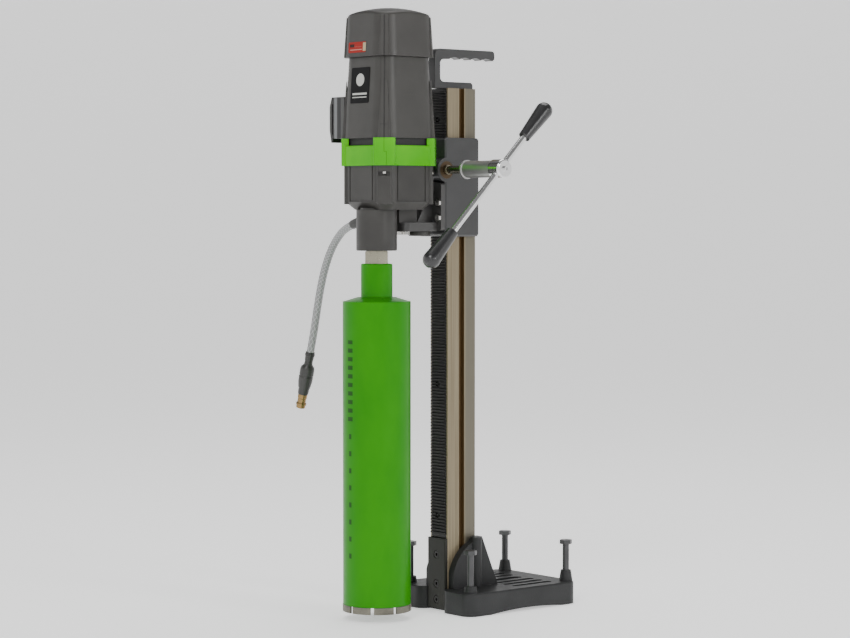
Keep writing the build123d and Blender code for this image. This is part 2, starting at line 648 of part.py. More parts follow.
# --- Clamping neck with the spindle's bearings and seals ---------------------------------------------
neck_bearing = 21.0
upper_bearing_low = 589.0
lower_bearing_low = 556.0
bearing_width = 12.0
seal_radius = 17.0
seal_heights = (547.0, 569.5, 582.0)
inlet_height = 577.0
hose_points = [(-56, 580), (-75, 574.3), (-97, 557), (-115, 533), (-129, 503), (-140.5, 465), (-151, 419),
               (-160.5, 386.5)]
hose_path = [Vector(x, drill_y, z) for x, z in hose_points]
inlet_axis = (hose_path[1] - hose_path[0]).normalized()
outlet_axis = (hose_path[-1] - hose_path[-2]).normalized()
inlet_root = hose_path[0] - inlet_axis * ((hose_path[0].X + neck_radius - 5) / inlet_axis.X)
with BuildPart() as clamping_neck:
    disc((0, drill_y, neck_bottom), neck_radius, housing_bottom - neck_bottom)
    fillet(edges().filter_by(GeomType.CIRCLE).group_by(Axis.Z)[0], radius=1.5)
    disc((0, drill_y, housing_bottom - 0.5), spigot_radius, 3.3)
    disc((0, drill_y, neck_bottom - 1), seal_radius, 80, mode=Mode.SUBTRACT)
    disc((0, drill_y, upper_bearing_low), neck_bearing + 0.02, 30, mode=Mode.SUBTRACT)
    disc((0, drill_y, lower_bearing_low), neck_bearing + 0.02, bearing_width, mode=Mode.SUBTRACT)
    disc(tuple(inlet_root - inlet_axis * 12), 4.5, 60, normal=tuple(inlet_axis), mode=Mode.SUBTRACT)
clamping_neck.part.label = "clamping_neck"
export_step(clamping_neck.part, "parts/clamping_neck.step")

with BuildPart() as spindle_bearings:
    for height in (upper_bearing_low, lower_bearing_low):
        disc((0, drill_y, height), neck_bearing, bearing_width, hole=spindle_radius + 0.04)
    disc((0, drill_y, plate_low), spindle_top_bearing, 7, hole=8.04)
spindle_bearings.part.label = "spindle_bearings"
export_step(spindle_bearings.part, "parts/spindle_bearings.step")

with BuildPart() as shaft_seals:
    for height in seal_heights:
        disc((0, drill_y, height), seal_radius - 0.02, 4, hole=spindle_radius + 0.06)
shaft_seals.part.label = "shaft_seals"
export_step(shaft_seals.part, "parts/shaft_seals.step")

# --- Water fitting, hose, nut, tap and nipple -------------------------------------------------------
with BuildPart() as water_fitting:
    disc(tuple(inlet_root), 4.45, 12, normal=tuple(inlet_axis))
    stub = inlet_root + inlet_axis * 9
    with BuildSketch(Plane(origin=tuple(stub), z_dir=tuple(inlet_axis))) as hexagon:
        RegularPolygon(8.5, 6)
    extrude(hexagon.sketch, amount=8)
    disc(tuple(stub), 7, (hose_path[0] - stub).length, normal=tuple(inlet_axis))
    disc(tuple(inlet_root - inlet_axis), 2.2, (hose_path[0] - inlet_root).length - 3, normal=tuple(inlet_axis),
         mode=Mode.SUBTRACT)
water_fitting.part.label = "water_fitting"
export_step(water_fitting.part, "parts/water_fitting.step")

hose_radii = []
for before, corner, after in zip(hose_path, hose_path[1:], hose_path[2:]):
    turn = radians((corner - before).get_angle(after - corner))
    shorter = min((corner - before).length, (after - corner).length)
    hose_radii.append(0.45 * shorter / tan(turn / 2))
print("hose bend radii", [round(radius, 1) for radius in hose_radii])
with BuildPart() as hose_tube:
    with BuildLine():
        FilletPolyline(*hose_path, radius=hose_radii)
    with BuildSketch(Plane(origin=hose_path[0], z_dir=inlet_axis)):
        Circle(hose_radius)
    sweep()
hose_tube.part.label = "hose_tube"
export_step(hose_tube.part, "parts/hose_tube.step")

nut_length = 15.0
tap_length = 53.0
nipple_length = 22.0
hose_end = hose_path[-1]
with BuildPart() as hose_nut:
    disc(tuple(hose_end), 7.2, nut_length, normal=tuple(outlet_axis))
    disc(tuple(hose_end + outlet_axis * 3), 7.8, 3, normal=tuple(outlet_axis))
hose_nut.part.label = "hose_nut"
export_step(hose_nut.part, "parts/hose_nut.step")

tap_start = hose_end + outlet_axis * nut_length
with BuildPart() as hose_tap:
    disc(tuple(tap_start), 6.5, 6, normal=tuple(outlet_axis))
    disc(tuple(tap_start + outlet_axis * 6), 11, tap_length - 16, normal=tuple(outlet_axis))
    disc(tuple(tap_start + outlet_axis * (tap_length - 10)), 8.5, 10, normal=tuple(outlet_axis))
hose_tap.part.label = "hose_tap"
export_step(hose_tap.part, "parts/hose_tap.step")

with BuildPart() as hose_nipple:
    nipple_start = tap_start + outlet_axis * tap_length
    disc(tuple(nipple_start), 7.3, nipple_length, hole=4, normal=tuple(outlet_axis))
    disc(tuple(nipple_start + outlet_axis * 14), 8, 3, hole=4, normal=tuple(outlet_axis))
hose_nipple.part.label = "hose_nipple"
export_step(hose_nipple.part, "parts/hose_nipple.step")

counter_place = (counter_x, counter_y)

# --- Spindle, gears and countershaft -----------------------------------------------------------------
thread_radius = 15.8
connector_top = 523.0
connector_bottom = 474.0
plate_thickness = 5.0
with BuildPart() as spindle:
    disc((0, drill_y, connector_top + 19), spindle_radius, 640 - connector_top - 19)
    disc((0, drill_y, 640), 8, 28)
    with BuildSketch(Plane((0, drill_y, connector_top))) as hexagon:
        RegularPolygon(19, 6, major_radius=True, rotation=18)
    extrude(hexagon.sketch, amount=18)
    disc((0, drill_y, connector_top + 18), 15.5, 1)
    disc((0, drill_y, connector_top - 27), thread_radius - 0.05, 27)
    disc((0, drill_y, connector_top - 28), 4, inlet_height - connector_top + 28, mode=Mode.SUBTRACT)
    disc((-30, drill_y, inlet_height - 1), 2.5, 60, normal=(1, 0, 0), mode=Mode.SUBTRACT)
spindle.part.label = "spindle"
export_step(spindle.part, "parts/spindle.step")

with BuildPart() as spindle_gear:
    gear_teeth((0, drill_y, 620), (0, 0, 1), stage_two_module, stage_two_teeth[1], 16, 0.44,
               start=bearing_angle((0, drill_y), counter_place) + 180 / stage_two_teeth[1],
               bore=spindle_radius + 0.02)
spindle_gear.part.label = "spindle_gear"
export_step(spindle_gear.part, "parts/spindle_gear.step")
print("countershaft at", round(counter_x, 3), round(counter_y, 3))

with BuildPart() as shaft_with_pinion:
    disc((*counter_place, housing_bottom + case_floor), 4, 59)
    disc((*counter_place, 616.5), 5.6, 44)
    gear_teeth((*counter_place, 618), (0, 0, 1), stage_two_module, stage_two_teeth[0], 20, 0.44,
               start=bearing_angle(counter_place, (0, drill_y)))

with BuildPart() as pressed_gear:
    gear_teeth((*counter_place, 648), (0, 0, 1), stage_one_module, stage_one_teeth[1], 8, 0.44,
               start=bearing_angle(counter_place, (0, motor_y)) + 180 / stage_one_teeth[1], bore=5.62)

with BuildPart() as countershaft:
    add(shaft_with_pinion.part)
    add(pressed_gear.part)
countershaft.part.label = "countershaft"
export_step(countershaft.part, "parts/countershaft.step")

# --- Core bit ------------------------------------------------------------------------------------
connector_radius = 23.25
shoulder = 6.0
segment_count = 9
segment_height = 10.0
barrel_top = bit_bottom + bit_length
with BuildPart() as bit_connector:
    disc((0, drill_y, barrel_top - plate_thickness), bit_radius - bit_wall - 0.02, plate_thickness)
    with BuildSketch(Plane.XZ.offset(reach)) as shoulder_profile:
        with BuildLine():
            Polyline((0, barrel_top), (bit_radius - 2, barrel_top), (connector_radius + 5, barrel_top + shoulder),
                     (0, barrel_top + shoulder), close=True)
        make_face()
    revolve(shoulder_profile.sketch, axis=Axis((0, drill_y, 0), (0, 0, 1)))
    disc((0, drill_y, barrel_top + shoulder), connector_radius, connector_top - barrel_top - shoulder)
    chamfer(edges().filter_by(GeomType.CIRCLE).group_by(Axis.Z)[-1], length=1.2)
    disc((0, drill_y, connector_top - 27.5), thread_radius, 30, mode=Mode.SUBTRACT)
    disc((0, drill_y, barrel_top - plate_thickness - 1), 6, 60, mode=Mode.SUBTRACT)
bit_connector.part.label = "bit_connector"
export_step(bit_connector.part, "parts/bit_connector.step")

with BuildPart() as core_barrel:
    disc((0, drill_y, bit_bottom + segment_height), bit_radius, bit_length - segment_height,
         hole=bit_radius - bit_wall)
core_barrel.part.label = "core_barrel"
export_step(core_barrel.part, "parts/core_barrel.step")

with BuildPart() as bit_segments:
    disc((0, drill_y, bit_bottom), bit_radius + 0.6, segment_height, hole=bit_radius - bit_wall - 0.8)
    with BuildSketch(Plane((0, drill_y, bit_bottom))) as gaps:
        with PolarLocations(bit_radius, segment_count, start_angle=-40 - 6.8):
            Rectangle(12, 5)
    extrude(gaps.sketch, amount=segment_height, mode=Mode.SUBTRACT)
bit_segments.part.label = "bit_segments"
export_step(bit_segments.part, "parts/bit_segments.step")

# --- Bearing plate and the green duct ring -----------------------------------------------------------
plate_half = 47.6
ring_wall = 4.0
with BuildPart() as bearing_plate:
    extrude(case_sketch(plate_low, plate_half, case_corner - case_wall - 0.5), amount=plate_high - plate_low)
    extrude(case_sketch(housing_top, plate_half + 4.2, case_corner), amount=plate_high - housing_top)
    disc((0, motor_y, plate_high), 17, 8)
    disc((0, motor_y, plate_high), armature_bearing + 0.02, 9, mode=Mode.SUBTRACT)
    disc((0, motor_y, plate_low - 1), 5.2, 30, mode=Mode.SUBTRACT)
    disc((0, drill_y, plate_low - 1), spindle_top_bearing + 0.02, 8, mode=Mode.SUBTRACT)
    disc((*counter_place, plate_low - 1), small_bearing + 0.02, 8.5, mode=Mode.SUBTRACT)
    for x, y in corner_places(screw_reach):
        disc((x, y, plate_low - 1), 1.8, 30, mode=Mode.SUBTRACT)
bearing_plate.part.label = "bearing_plate"
export_step(bearing_plate.part, "parts/bearing_plate.step")

with BuildPart() as duct_ring:
    extrude(case_sketch(housing_top, ring_half, ring_corner), amount=band_top - housing_top)
    fillet(edges().group_by(Axis.Z)[-1], radius=2)
    lug_reach = (ring_half - ring_corner) * 2 ** 0.5 + ring_corner
    with BuildSketch(Plane((0, motor_y, housing_top))) as lugs:
        for angle in (45, 135, 225, 315):
            with PolarLocations(lug_reach - 9, 1, start_angle=angle):
                RectangleRounded(21, 32, 3)
    extrude(lugs.sketch, amount=motor_bottom - housing_top)
    extrude(case_sketch(housing_top, ring_half - ring_wall, ring_corner - ring_wall), amount=60,
            mode=Mode.SUBTRACT)
    for x, y in corner_places(screw_reach):
        disc((x, y, plate_high), 4, motor_bottom - plate_high)
        disc((x, y, housing_top - 1), 1.8, 60, mode=Mode.SUBTRACT)
duct_ring.part.label = "duct_ring"
export_step(duct_ring.part, "parts/duct_ring.step")

with BuildPart() as shaft_bearings:
    disc((*counter_place, housing_bottom + case_floor), small_bearing, 7, hole=4.04)
    disc((*counter_place, plate_low - 0.2), small_bearing, 7, hole=4.04)
    disc((0, motor_y, plate_high), armature_bearing, 8, hole=5.04)
    disc((0, motor_y, motor_top - 12), small_bearing, 8, hole=4.04)
shaft_bearings.part.label = "shaft_bearings"
export_step(shaft_bearings.part, "parts/shaft_bearings.step")

# --- Motor housing and what turns and stands in it ----------------------------------------------------
motor_half = 55.0
motor_corner = 28.7
motor_taper = 3.73
motor_wall = 3.5
stator_radius = 42.0
stator_low = 718.0
stator_high = 770.0
motor_reach = (motor_half - motor_corner) * 2 ** 0.5 + motor_corner
with BuildPart() as motor_housing:
    extrude(case_sketch(motor_bottom, motor_half, motor_corner), amount=motor_top - motor_bottom,
            taper=motor_taper)
    extrude(rib_sketch(motor_bottom, motor_reach - 3.6, 11, 19), amount=motor_top - motor_bottom,
            taper=motor_taper)
    with BuildSketch(Plane((0, motor_y, motor_bottom))) as hollow:
        RectangleRounded(2 * (motor_half - motor_wall), 2 * (motor_half - motor_wall), motor_corner - motor_wall)
    extrude(hollow.sketch, amount=motor_top - motor_bottom - 13, taper=motor_taper, mode=Mode.SUBTRACT)
    # Stator seat: four inner ribs, then the upper bearing's pocket
    for angle in (0, 90, 180, 270):
        with BuildSketch(Plane((0, motor_y, stator_low))) as seat:
            with PolarLocations(46, 1, start_angle=angle):
                Rectangle(10, 20)
        extrude(seat.sketch, amount=stator_high - stator_low)
    disc((0, motor_y, stator_low), stator_radius + 0.02, stator_high - stator_low, mode=Mode.SUBTRACT)
    disc((0, motor_y, motor_top - 14), small_bearing + 0.02, 10, mode=Mode.SUBTRACT)
    disc((0, motor_y, motor_top - 20), 5, 40, mode=Mode.SUBTRACT)
    for x, y in corner_places(screw_reach):
        disc((x, y, motor_bottom), 4, 22)
        disc((x, y, motor_bottom - 1), 1.55, 20, mode=Mode.SUBTRACT)
motor_housing.part.label = "motor_housing"
export_step(motor_housing.part, "parts/motor_housing.step")

with BuildPart() as housing_screws:
    for x, y in corner_places(screw_reach):
        disc((x, y, screw_seat), 1.5, 66)
        disc((x, y, screw_seat - 3), 3.1, 3)
housing_screws.part.label = "housing_screws"
export_step(housing_screws.part, "parts/housing_screws.step")

with BuildPart() as stator_core:
    disc((0, motor_y, stator_low), stator_radius, stator_high - stator_low, hole=26)
stator_core.part.label = "stator_core"
export_step(stator_core.part, "parts/stator_core.step")

with BuildPart() as field_coils:
    for height in (stator_low - 8, stator_high):
        disc((0, motor_y, height), 39, 8, hole=28)
field_coils.part.label = "field_coils"
export_step(field_coils.part, "parts/field_coils.step")

armature_low = 645.0
with BuildPart() as armature:
    disc((0, motor_y, armature_low + 12), 5, 40)
    disc((0, motor_y, 696), 6, 114)
    disc((0, motor_y, 809), 4, 14)
    gear_teeth((0, motor_y, armature_low), (0, 0, 1), stage_one_module, stage_one_teeth[0], 13, 0.44,
               start=bearing_angle((0, motor_y), counter_place))
    disc((0, motor_y, stator_low), 25, stator_high - stator_low)
armature.part.label = "armature"
export_step(armature.part, "parts/armature.step")

commutator_low = 781.0
with BuildPart() as commutator:
    disc((0, motor_y, commutator_low), 13, 22, hole=6.02)
    with BuildSketch(Plane((0, motor_y, commutator_low + 3))) as slits:
        with PolarLocations(13, 24):
            Rectangle(2, 0.6)
    extrude(slits.sketch, amount=22, mode=Mode.SUBTRACT)
commutator.part.label = "commutator"
export_step(commutator.part, "parts/commutator.step")

with BuildPart() as cooling_fan:
    disc((0, motor_y, 697), 9, 11, hole=6.02)
    disc((0, motor_y, 697), 38, 2, hole=6.02)
    with BuildSketch(Plane((0, motor_y, 698))) as blades:
        with PolarLocations(24, 12):
            Rectangle(27, 1.6)
    extrude(blades.sketch, amount=9)
cooling_fan.part.label = "cooling_fan"
export_step(cooling_fan.part, "parts/cooling_fan.step")

with BuildPart() as brush_holders:
    for side in (-1, 1):
        for wall in (-1, 1):
            block((side * 30 - 14, motor_y + wall * 6.5 - 1.5, 784), (side * 30 + 14, motor_y + wall * 6.5 + 1.5, 799))
        block((side * 30 - 14, motor_y - 8, 782), (side * 30 + 14, motor_y + 8, 784.5))
        block((min(side * 40, side * 45.4), motor_y - 8, 782), (max(side * 40, side * 45.4), motor_y + 8, 799))
brush_holders.part.label = "brush_holders"
export_step(brush_holders.part, "parts/brush_holders.step")

with BuildPart() as carbon_brushes:
    for side in (-1, 1):
        block((side * 25 - 11.9, motor_y - 4.9, 784.6), (side * 25 + 11.9, motor_y + 4.9, 797))
carbon_brushes.part.label = "carbon_brushes"
export_step(carbon_brushes.part, "parts/carbon_brushes.step")

# --- Fan cap, plates and the switch ------------------------------------------------------------------
cap_half = 53.5
cap_corner = 28.0
cap_taper = 3.45
crown_radius = 180.0
cap_reach = (cap_half - cap_corner) * 2 ** 0.5 + cap_corner
with BuildPart() as fan_cap:
    extrude(case_sketch(cap_bottom, cap_half, cap_corner), amount=cap_top - cap_bottom, taper=cap_taper)
    with Locations((0, motor_y, cap_top - crown_radius)):
        Sphere(crown_radius, rotation=(90, 0, 0), mode=Mode.INTERSECT)
    fillet(edges().filter_by_position(Axis.Z, cap_edge - 12, cap_top), radius=6)
    extrude(rib_sketch(cap_bottom, cap_reach - 3.8, 10, 17), amount=cap_edge - cap_bottom, taper=cap_taper)
    extrude(case_sketch(cap_bottom, cap_half - 3, cap_corner - 3), amount=cap_edge - cap_bottom - 4,
            taper=cap_taper + 2.5, mode=Mode.SUBTRACT)
    extrude(case_sketch(motor_top, 44, 22), amount=cap_bottom - motor_top + 5)
    extrude(case_sketch(motor_top, 41, 19), amount=cap_bottom - motor_top + 6, mode=Mode.SUBTRACT)
    with BuildSketch(Plane((0, motor_y, cap_bottom))) as rim_sketch:
        RectangleRounded(2 * cap_half - 3, 2 * cap_half - 3, cap_corner - 1.5)
        RectangleRounded(82, 82, 19, mode=Mode.SUBTRACT)
    extrude(rim_sketch.sketch, amount=3)
fan_cap.part.label = "fan_cap"
export_step(fan_cap.part, "parts/fan_cap.step")

with BuildPart() as control_module:
    block((-28, motor_y - 20, motor_top), (28, motor_y + 20, motor_top + 28))
control_module.part.label = "control_module"
export_step(control_module.part, "parts/control_module.step")


def face_plate(name, base_height, half, taper, low, high, middle_x, width, depth):
    """A thin plate that lies on the tapered front face, between two heights."""
    slope = radians(taper)
    middle = (low + high) / 2
    face_y = motor_y - half + (middle - base_height) * tan(slope)
    outward = (0, -cos(slope), sin(slope))
    with BuildPart() as plate:
        with BuildSketch(Plane(origin=(middle_x, face_y - 0.05, middle), z_dir=outward, x_dir=(1, 0, 0))):
            RectangleRounded(width, (high - low) / cos(slope), 2)
        extrude(amount=depth)
    plate.part.label = name
    export_step(plate.part, "parts/" + name + ".step")


face_plate("front_plate", motor_bottom, motor_half, motor_taper, 757, 809, -4, 42, 0.8)
face_plate("cap_plate", cap_bottom, cap_half, cap_taper, 830.5, 846, -7.5, 40, 0.6)

switch_bottom = 701.0
switch_top = 768.0
switch_front = motor_y - 48.0
switch_back = motor_y - 6.0
switch_inner = -56.0
switch_outer = -72.0
cover_outer = -80.0
with BuildPart() as switch_box:
    with BuildSketch(Plane.XZ.offset(-switch_back)):
        with BuildLine():
            Polyline((switch_inner + 11, switch_bottom + 6), (switch_outer, switch_bottom + 6),
                     (switch_outer, switch_top), (switch_inner + 11, switch_top), close=True)
        make_face()
    extrude(amount=switch_back - switch_front)
    extrude(case_sketch(motor_bottom, motor_half + 0.4, motor_corner), amount=motor_top - motor_bottom,
            taper=motor_taper, mode=Mode.SUBTRACT)
    extrude(rib_sketch(motor_bottom, motor_reach - 3.6, 11.4, 19.4), amount=motor_top - motor_bottom,
            taper=motor_taper, mode=Mode.SUBTRACT)
    block((switch_outer - 1, (switch_front + switch_back) / 2 - 9, 722),
          (switch_outer + 11, (switch_front + switch_back) / 2 + 9, 748), mode=Mode.SUBTRACT)
switch_box.part.label = "switch_box"
export_step(switch_box.part, "parts/switch_box.step")

switch_middle = (switch_front + switch_back) / 2
rocker_pivot = switch_outer + 3.0
with BuildPart() as switch_cover:
    with BuildSketch(Plane.XZ.offset(-switch_back)):
        with BuildLine():
            Polyline((switch_outer, switch_bottom), (switch_outer, switch_top), (switch_outer - 3, switch_top),
                     (cover_outer, switch_top - 14), (cover_outer, switch_bottom + 18),
                     (switch_outer - 4, switch_bottom), close=True)
        make_face()
    extrude(amount=switch_back - switch_front)
    block((cover_outer - 1, switch_middle - 9, 722), (switch_outer + 1, switch_middle + 9, 748),
          mode=Mode.SUBTRACT)
    block((switch_outer - 2.5, switch_front - 1, switch_bottom + 12), (switch_outer - 0.5, switch_front + 5,
                                                                      switch_top - 10), mode=Mode.SUBTRACT)
switch_cover.part.label = "switch_cover"
export_step(switch_cover.part, "parts/switch_cover.step")

with BuildPart() as rocker_switch:
    with BuildSketch(Plane.XZ.offset(-(switch_middle + 8))):
        with BuildLine():
            Polyline((rocker_pivot, 725), (rocker_pivot, 745), (rocker_pivot - 9, 745.5),
                     (rocker_pivot - 6.5, 735), (rocker_pivot - 6.5, 725), close=True)
        make_face()
    extrude(amount=16)
    disc((rocker_pivot + 0.5, switch_middle - 8.95, 735), 1.5, 17.9, normal=(0, 1, 0))
rocker_switch.part.label = "rocker_switch"
export_step(rocker_switch.part, "parts/rocker_switch.step")

with BuildPart() as cable_gland:
    disc((-64, switch_back, 734), 8, 8, hole=4, normal=(0, 1, 0))
    disc((-64, switch_back + 8, 734), 6.5, 12, hole=4, normal=(0, 1, 0))
cable_gland.part.label = "cable_gland"
export_step(cable_gland.part, "parts/cable_gland.step")
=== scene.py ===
import json
from math import pi, radians

import bmesh
import bpy
from mathutils import Matrix, Vector

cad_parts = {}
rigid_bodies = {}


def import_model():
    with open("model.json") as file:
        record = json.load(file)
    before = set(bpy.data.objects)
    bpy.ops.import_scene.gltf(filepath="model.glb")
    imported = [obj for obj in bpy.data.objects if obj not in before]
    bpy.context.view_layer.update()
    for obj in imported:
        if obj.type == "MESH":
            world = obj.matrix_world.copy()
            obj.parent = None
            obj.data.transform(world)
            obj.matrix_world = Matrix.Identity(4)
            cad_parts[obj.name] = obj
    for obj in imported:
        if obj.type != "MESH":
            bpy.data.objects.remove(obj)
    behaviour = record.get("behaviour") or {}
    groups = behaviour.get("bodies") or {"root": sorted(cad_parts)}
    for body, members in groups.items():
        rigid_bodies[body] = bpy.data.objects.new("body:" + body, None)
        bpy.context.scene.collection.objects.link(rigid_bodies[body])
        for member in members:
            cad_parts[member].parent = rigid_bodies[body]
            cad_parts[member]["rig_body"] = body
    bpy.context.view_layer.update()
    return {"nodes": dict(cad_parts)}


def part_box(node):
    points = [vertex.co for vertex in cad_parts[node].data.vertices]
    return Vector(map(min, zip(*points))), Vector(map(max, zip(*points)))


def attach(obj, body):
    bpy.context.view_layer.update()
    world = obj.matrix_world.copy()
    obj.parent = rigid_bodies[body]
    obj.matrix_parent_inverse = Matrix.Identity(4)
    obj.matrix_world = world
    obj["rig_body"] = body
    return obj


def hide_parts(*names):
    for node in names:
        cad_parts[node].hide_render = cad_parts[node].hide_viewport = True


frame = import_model()

# Camera and studio.
# A long lens looks at the rig from its front right, a little above the middle of its height.
# Four soft area lights and a dim even sky make a product studio.
camera_data = bpy.data.cameras.new("camera")
camera_data.lens = 104.5
camera_data.sensor_width = 36
camera_data.clip_end = 50
camera = bpy.data.objects.new("camera", camera_data)
camera.location = (2.818, -2.4205, 0.598)
camera_way = Vector((-0.766, 0.643, -0.0432))
camera.rotation_euler = camera_way.to_track_quat("-Z", "Y").to_euler()
bpy.context.scene.collection.objects.link(camera)
bpy.context.scene.camera = camera


def soft_light(name, place, target, size, power):
    """A square area light that faces a point."""
    data = bpy.data.lights.new(name, "AREA")
    data.size = size
    data.energy = power
    light = bpy.data.objects.new(name, data)
    light.location = place
    light.rotation_euler = (Vector(target) - Vector(place)).to_track_quat("-Z", "Y").to_euler()
    bpy.context.scene.collection.objects.link(light)


soft_light("key_light", (1.4, -2.4, 2.8), (0, -0.1, 0.4), 1.3, 42)
soft_light("side_light", (3.0, 0.4, 1.4), (0, 0, 0.4), 0.5, 20)
soft_light("left_light", (-2.6, -1.2, 1.4), (0, -0.1, 0.5), 0.7, 1)
soft_light("top_light", (-0.3, 0.6, 3.4), (0, 0, 0.2), 2.2, 50)
sky = bpy.data.worlds.new("sky")
sky.use_nodes = True
sky.node_tree.nodes["Background"].inputs["Color"].default_value = (1.0, 1.0, 1.0, 1)
sky.node_tree.nodes["Background"].inputs["Strength"].default_value = 0.26
bpy.context.scene.world = sky


# Floor and backdrop.
# One round sheet of pale lit paper. It lies flat under the rig and far out around it,
# and rises in a slow curve on every side.


class Wire:
    """One output socket inside a finish; arithmetic on it adds Math nodes."""

    def __init__(self, finish, socket):
        self.finish = finish
        self.socket = socket

    def math(self, operation, first, second=0.0):
        return self.finish.node("ShaderNodeMath", {"operation": operation}, {0: first, 1: second})

    def __add__(self, other):
        return self.math("ADD", self, other)

    def __sub__(self, other):
        return self.math("SUBTRACT", self, other)

    def __rsub__(self, other):
        return self.math("SUBTRACT", other, self)

    def __mul__(self, other):
        return self.math("MULTIPLY", self, other)

    def __truediv__(self, other):
        return self.math("DIVIDE", self, other)

    def __pow__(self, other):
        return self.math("POWER", self, other)

    def __gt__(self, other):
        return self.math("GREATER_THAN", self, other)

    def __lt__(self, other):
        return self.math("LESS_THAN", self, other)

    __radd__ = __add__
    __rmul__ = __mul__

    def larger(self, other):
        """The larger of two values."""
        return self.math("MAXIMUM", self, other)

    def size(self):
        """The value without its sign."""
        return self.math("ABSOLUTE", self)

    def fraction(self):
        return self.math("FRACT", self)

    def smooth(self, low, high):
        """0 below low, 1 above high, and a smooth rise between them."""
        settings = {"interpolation_type": "SMOOTHSTEP"}
        return self.finish.node("ShaderNodeMapRange", settings, {0: self, 1: low, 2: high, 3: 0.0, 4: 1.0})


class Finish:
    """A node material. Named values go to the shader's own sockets; methods add what varies."""

    def __init__(self, name, colour, **values):
        self.material = bpy.data.materials.new(name)
        self.material.use_nodes = True
        self.tree = self.material.node_tree
        self.shader = self.tree.nodes["Principled BSDF"]
        self.shader.inputs["Base Color"].default_value = (*colour, 1)
        for socket, value in values.items():
            self.shader.inputs[socket.replace("_", " ")].default_value = value

    def node(self, kind, settings=None, inputs=None, output=0):
        """Add a node, set it, and connect or fill its sockets. Returns one of its outputs."""
        made = self.tree.nodes.new(kind)
        for key, value in (settings or {}).items():
            setattr(made, key, value)
        for key, value in (inputs or {}).items():
            if isinstance(value, Wire):
                self.tree.links.new(value.socket, made.inputs[key])
            else:
                made.inputs[key].default_value = value
        return Wire(self, made.outputs[output])

    def place(self, scale=(1, 1, 1)):
        """Object coordinates, stretched."""
        point = self.node("ShaderNodeTexCoord", output="Object")
        return self.node("ShaderNodeMapping", inputs={"Vector": point, "Scale": scale})

    def axis(self, letter):
        """One of the object coordinates, in metres."""
        return self.node("ShaderNodeSeparateXYZ", inputs={0: self.place()}, output=letter)

    def noise(self, scale, detail=3.0, stretch=(1, 1, 1), roughness=0.55):
        """Fractal noise between about 0.3 and 0.7."""
        inputs = {"Vector": self.place(stretch), "Scale": scale, "Detail": detail, "Roughness": roughness}
        return self.node("ShaderNodeTexNoise", inputs=inputs)

    def blend(self, factor, first, second):
        """A colour between two colours."""
        inputs = {0: factor}
        inputs[6] = first if isinstance(first, Wire) else (*first, 1)
        inputs[7] = second if isinstance(second, Wire) else (*second, 1)
        return self.node("ShaderNodeMix", {"data_type": "RGBA"}, inputs, output=2)

    def feed(self, socket, wire):
        """Connect what varies to a socket of the shader."""
        self.tree.links.new(wire.socket, self.shader.inputs[socket])

    def bump(self, height, strength, distance):
        """Raise the surface by a height pattern."""
        inputs = {"Height": height, "Strength": strength, "Distance": distance}
        self.feed("Normal", self.node("ShaderNodeBump", inputs=inputs))


paper_line = [(0, 0), (1.5, 0), (3.5, 0), (6.5, 0.2), (8.6, 1.3), (9.2, 4.4)]
paper_mesh = bmesh.new()
paper_corners = [paper_mesh.verts.new((out, 0, up)) for out, up in paper_line]
paper_edges = [paper_mesh.edges.new(pair) for pair in zip(paper_corners, paper_corners[1:])]
bmesh.ops.spin(paper_mesh, geom=paper_corners + paper_edges, cent=(0, 0, 0), axis=(0, 0, 1), angle=2 * pi,
               steps=32, use_merge=True)
bmesh.ops.remove_doubles(paper_mesh, verts=paper_mesh.verts[:], dist=1e-5)
bmesh.ops.recalc_face_normals(paper_mesh, faces=paper_mesh.faces[:])
bmesh.ops.reverse_faces(paper_mesh, faces=[face for face in paper_mesh.faces if face.normal.z < 0])
paper_data = bpy.data.meshes.new("backdrop")
paper_mesh.to_mesh(paper_data)
paper_mesh.free()
paper_data.shade_smooth()
paper_finish = Finish("lit_paper", (0.95, 0.95, 0.95), Roughness=0.8, Emission_Color=(1, 1, 1, 1),
                      Emission_Strength=0.62)
paper_finish.feed("Roughness", paper_finish.noise(2, 2) * 0.1 + 0.75)
paper_data.materials.append(paper_finish.material)
backdrop = bpy.data.objects.new("backdrop", paper_data)
backdrop.location = (0, 0, -0.0005)
bpy.context.scene.collection.objects.link(backdrop)
curve = backdrop.modifiers.new("curve", "SUBSURF")
curve.levels = 2
curve.render_levels = 2

# Water hose.
# A 12 mm clear PVC hose with a woven grey thread in its wall. It leaves the neck's fitting sideways,
# arches over and hangs with the weight of the coupling on its lower end.
drill_y = -0.1475
hose_route = [(-0.056, 0.580), (-0.075, 0.5743), (-0.097, 0.557), (-0.115, 0.533), (-0.129, 0.503),
              (-0.1405, 0.465), (-0.151, 0.419), (-0.1605, 0.3865)]
hose_curve = bpy.data.curves.new("water_hose", "CURVE")
hose_curve.dimensions = "3D"
hose_curve.bevel_depth = 0.006
hose_curve.bevel_resolution = 6
hose_curve.resolution_u = 16
hose_curve.use_fill_caps = True
hose_spline = hose_curve.splines.new("NURBS")
hose_spline.points.add(len(hose_route) - 1)
for point, (x, z) in zip(hose_spline.points, hose_route):
    point.co = (x, drill_y, z, 1)
hose_spline.order_u = 3
hose_spline.use_endpoint_u = True
hose_finish = Finish("clear_braided_hose", (0.40, 0.42, 0.42), Roughness=0.25, Coat_Weight=0.4)
hose_uv = hose_finish.node("ShaderNodeTexCoord", output="UV")
along = hose_finish.node("ShaderNodeSeparateXYZ", inputs={0: hose_uv}, output="X")
around = hose_finish.node("ShaderNodeSeparateXYZ", inputs={0: hose_uv}, output="Y")
left_thread = (around * 6 + along * 34).fraction().smooth(0.0, 0.12) * (around * 6 + along * 34).fraction()
right_thread = (around * 6 - along * 34 + 40).fraction()
weave = 1 - (left_thread.smooth(0.02, 0.2) * right_thread.smooth(0.02, 0.2))
